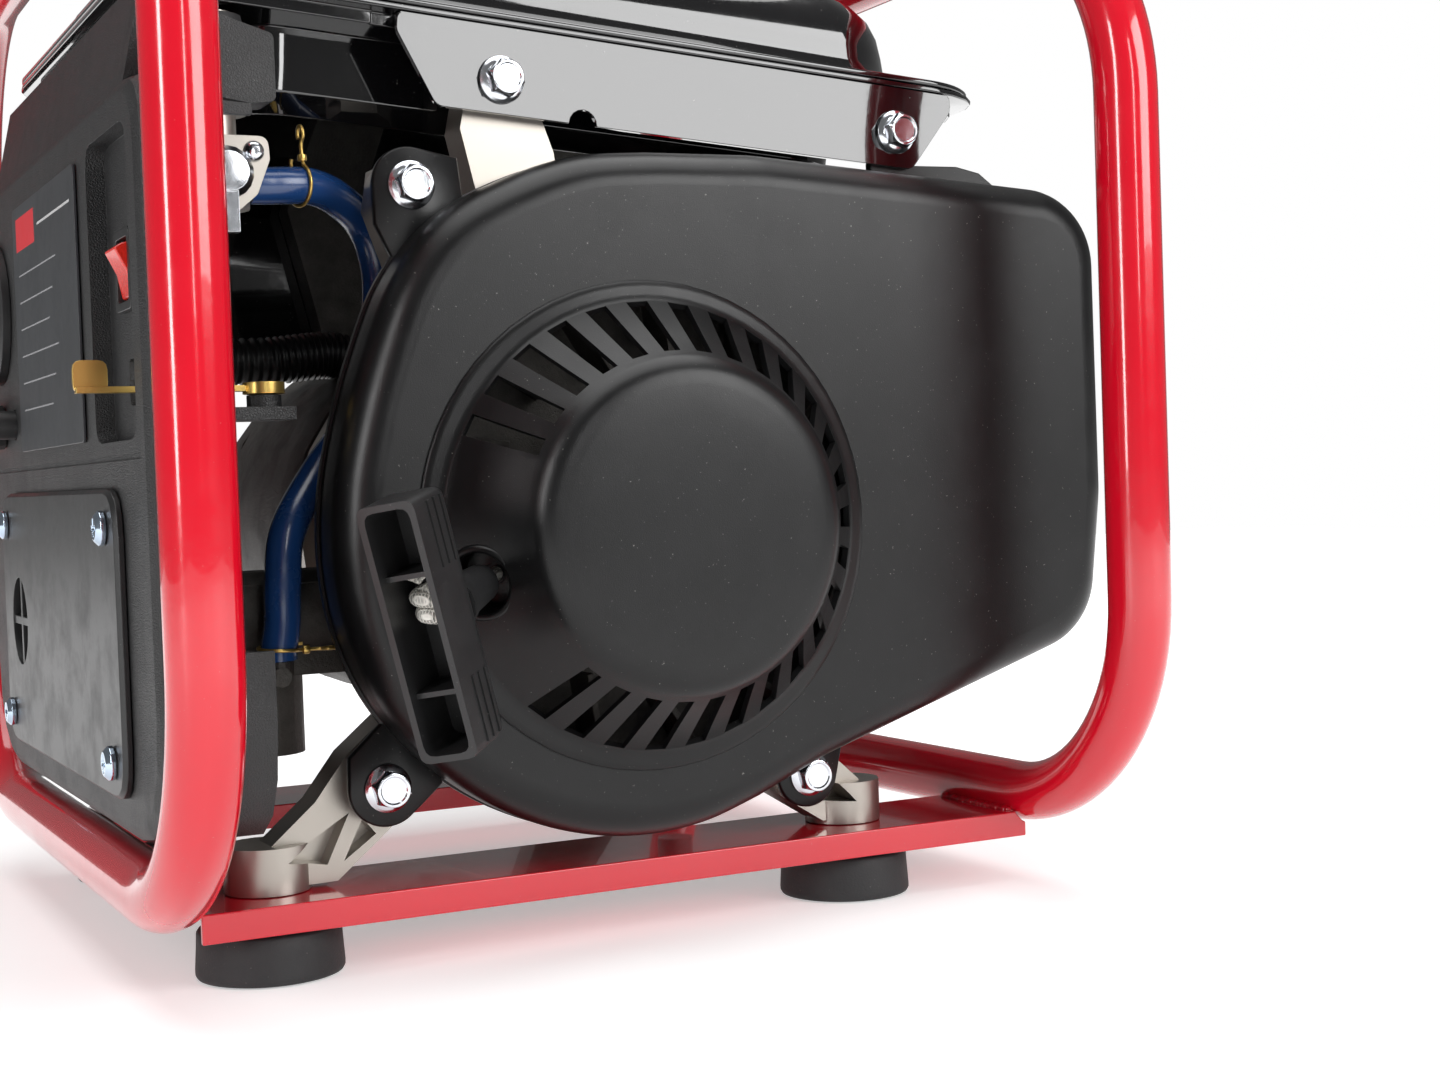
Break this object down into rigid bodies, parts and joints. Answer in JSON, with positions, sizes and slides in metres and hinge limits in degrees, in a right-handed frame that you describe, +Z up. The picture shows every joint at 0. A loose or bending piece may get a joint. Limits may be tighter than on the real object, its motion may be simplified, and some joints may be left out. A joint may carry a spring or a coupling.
{
  "type": "portable generator",
  "caption": "Open-frame portable generator with tubular hoops, recoil starter, ducted engine, alternator, tilted fuel tank and a front control panel",
  "frame": {"origin": "centre of the footprint on the ground", "axes": "+Z up, +X the recoil-starter side, -Y the control-panel side"},
  "size_m": [0.3642, 0.333, 0.333],
  "materials": {
    "red_paint": "high-gloss red enamel",
    "gloss_black": "mirror-gloss black enamel",
    "satin_black": "satin black powder coat",
    "grain_plastic": "moulded black plastic, leather grain",
    "rubber": "matte moulded rubber",
    "cast_alloy": "as-cast aluminium",
    "zinc": "bright zinc plate",
    "steel": "bare and stove-blacked steel",
    "yellow_zinc": "yellow passivated zinc",
    "copper_rotor": "varnished copper windings",
    "signal_red": "red moulded plastic",
    "hose_blue": "translucent blue hose",
    "rope": "braided starter rope",
    "ceramic": "glazed ceramic",
    "label": "printed film, left blank"
  },
  "bodies": {
    "root": {"front_hoop": "red_paint", "rear_hoop": "red_paint", "rail_right": "red_paint", "rail_left": "red_paint", "rubber_foot_right_front": "rubber", "rubber_foot_right_rear": "rubber", "rubber_foot_left_front": "rubber", "rubber_foot_left_rear": "rubber", "plug_cap": "rubber", "crankcase": "cast_alloy", "cylinder": "cast_alloy", "cylinder_head": "cast_alloy", "alternator_housing": "cast_alloy", "alternator_end_cover": "cast_alloy", "carburettor": "cast_alloy", "fuel_tap": "cast_alloy", "spark_plug": "ceramic", "cylinder_cowl": "satin_black", "muffler_guard": "satin_black", "starter_cover": "satin_black", "muffler": "steel", "alternator_stator": "steel", "cover_bolt_low_front": "zinc", "cover_bolt_high_front": "zinc", "cover_bolt_low_rear": "zinc", "bracket_bolt_right_front": "zinc", "bracket_bolt_right_rear": "zinc", "bracket_bolt_left_front": "zinc", "bracket_bolt_left_rear": "zinc", "cover_screw_1": "zinc", "cover_screw_2": "zinc", "cover_screw_3": "zinc", "cover_screw_4": "zinc", "air_filter_box": "grain_plastic", "control_panel": "grain_plastic", "rocker_bezel": "grain_plastic", "filter_cover": "grain_plastic", "ac_socket": "grain_plastic", "tank_upper": "gloss_black", "tank_lower": "gloss_black", "tank_bracket_right": "gloss_black", "tank_bracket_left": "gloss_black", "fuel_hose": "hose_blue", "data_plate": "label"},
    "shaft_line": {"crankshaft": "steel", "flywheel_fan": "cast_alloy", "alternator_rotor": "copper_rotor"},
    "reel": {"starter_reel": "steel"},
    "starter_grip": {"starter_handle": "grain_plastic", "rope_knot": "rope", "starter_rope": "rope"},
    "rocker": {"rocker_switch": "signal_red"},
    "choke": {"choke_lever": "yellow_zinc"},
    "tap_lever": {"fuel_tap_lever": "zinc"},
    "tank_cap": {"fuel_cap": "satin_black"},
    "terminal_plus": {"dc_terminal_plus": "signal_red"},
    "terminal_minus": {"dc_terminal_minus": "grain_plastic"},
    "breaker": {"breaker_button": "satin_black"}
  },
  "joints": [
    {"name": "crank_spin", "type": "hinge", "parent": "root", "child": "shaft_line", "pos_m": [0, -0.0051, 0.1257], "axis": [1, 0, 0], "continuous": true},
    {"name": "starter_pull", "type": "slide", "parent": "root", "child": "starter_grip", "axis": [0.7003, -0.6853, -0.2001], "range_m": [0, 0.3], "stiffness_N_per_m": 6, "springref_m": -0.5, "deforming": ["starter_rope"]},
    {"name": "reel_spin", "type": "hinge", "parent": "root", "child": "reel", "pos_m": [0.1435, -0.0051, 0.1257], "axis": [1, 0, 0], "range_deg": [0, 480]},
    {"name": "rocker_tilt", "type": "hinge", "parent": "root", "child": "rocker", "pos_m": [0.0985, -0.1449, 0.2023], "axis": [1, 0, 0], "range_deg": [-22, 0]},
    {"name": "choke_swing", "type": "hinge", "parent": "root", "child": "choke", "pos_m": [0.0975, -0.1105, 0.1695], "axis": [0, 0, 1], "range_deg": [0, 18]},
    {"name": "tap_turn", "type": "hinge", "parent": "root", "child": "tap_lever", "pos_m": [0.1023, -0.1202, 0.2296], "axis": [1, 0, 0], "range_deg": [0, 90]},
    {"name": "cap_turn", "type": "hinge", "parent": "root", "child": "tank_cap", "pos_m": [0, -0.02244, 0.2774], "axis": [0, 0.0752, 0.9972], "range_deg": [0, 90]},
    {"name": "terminal_plus_turn", "type": "hinge", "parent": "root", "child": "terminal_plus", "pos_m": [-0.118, -0.1525, 0.166], "axis": [0, 1, 0], "continuous": true},
    {"name": "terminal_minus_turn", "type": "hinge", "parent": "root", "child": "terminal_minus", "pos_m": [-0.096, -0.1525, 0.166], "axis": [0, 1, 0], "continuous": true},
    {"name": "breaker_press", "type": "slide", "parent": "root", "child": "breaker", "axis": [0, 1, 0], "range_m": [0, 0.003], "stiffness_N_per_m": 400}
  ],
  "couplings": [
    {"joint": "reel_spin", "follows": "starter_pull", "rad_per_m": 27.7}
  ]
}
